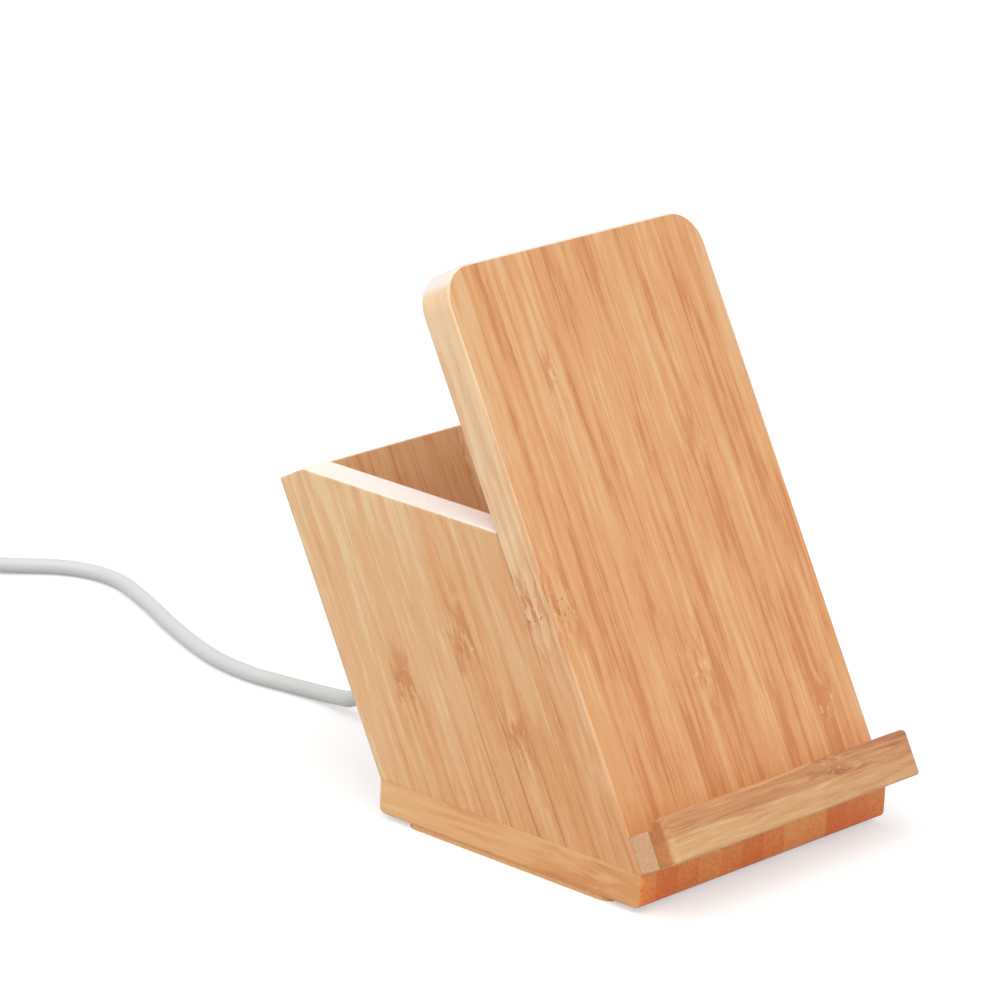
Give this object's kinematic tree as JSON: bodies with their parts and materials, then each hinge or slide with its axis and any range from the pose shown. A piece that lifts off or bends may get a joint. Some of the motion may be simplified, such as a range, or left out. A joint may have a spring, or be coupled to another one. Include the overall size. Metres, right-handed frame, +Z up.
{
  "type": "wireless charging phone stand with pen holder",
  "caption": "Leaning bamboo phone rest with a ledge, a charging coil set in its back, a pen well behind it and a plug-in cable.",
  "frame": {"origin": "on the desk, under the middle of the box around the wooden body", "axes": "+Z up, +Y from the phone ledge towards the pen well, +X to the right of someone who faces the phone"},
  "size_m": [0.1061, 0.2968, 0.1134],
  "materials": {
    "bamboo_base": "satin clear coat on end grain",
    "bamboo_side": "satin clear coat on side-pressed strips",
    "bamboo_face": "satin clear coat on the leaning face",
    "bamboo_ledge": "satin clear coat, slightly greyer strip",
    "cork": "matt brown non-slip sheet",
    "copper": "enamelled winding wire",
    "ferrite": "matt dark grey magnetic sheet",
    "lead_insulation": "black insulated lead",
    "laminate": "green solder mask",
    "socket_steel": "plated steel",
    "chip": "black moulded package",
    "ceramic": "ceramic capacitor body",
    "cable_jacket": "white flexible jacket",
    "plug_moulding": "white moulded grip",
    "plug_steel": "plated steel",
    "tie_strap": "pale strap",
    "plug_tongue": "white moulded insert"
  },
  "bodies": {
    "stand": {"base_board": "bamboo_base", "foot_mat": "cork", "side_panel_left": "bamboo_side", "side_panel_right": "bamboo_side", "rear_wall": "bamboo_side", "backrest_board": "bamboo_face", "well_floor": "bamboo_side", "ledge_plank": "bamboo_ledge", "ledge_lip": "bamboo_ledge", "pocket_cover": "bamboo_side", "charging_coil": "copper", "ferrite_sheet": "ferrite", "coil_lead": "lead_insulation", "circuit_board": "laminate", "usb_socket_shell": "socket_steel", "usb_socket_tongue": "chip", "controller_chip": "chip", "power_chip": "chip", "capacitor_a": "ceramic", "capacitor_b": "ceramic", "capacitor_c": "ceramic"},
    "cable": {"cable_plug_shell": "plug_steel", "cable_plug_grip": "plug_moulding", "cable_plug_relief": "plug_moulding", "cable_lead": "cable_jacket", "cable_coil": "cable_jacket", "cable_tie": "tie_strap", "usb_a_relief": "plug_moulding", "usb_a_grip": "plug_moulding", "usb_a_shell": "plug_steel", "usb_a_tongue": "plug_tongue"}
  },
  "joints": [
    {"name": "cable_pull", "type": "slide", "parent": "stand", "child": "cable", "axis": [0, 1, 0], "range_m": [0, 0.02]}
  ]
}
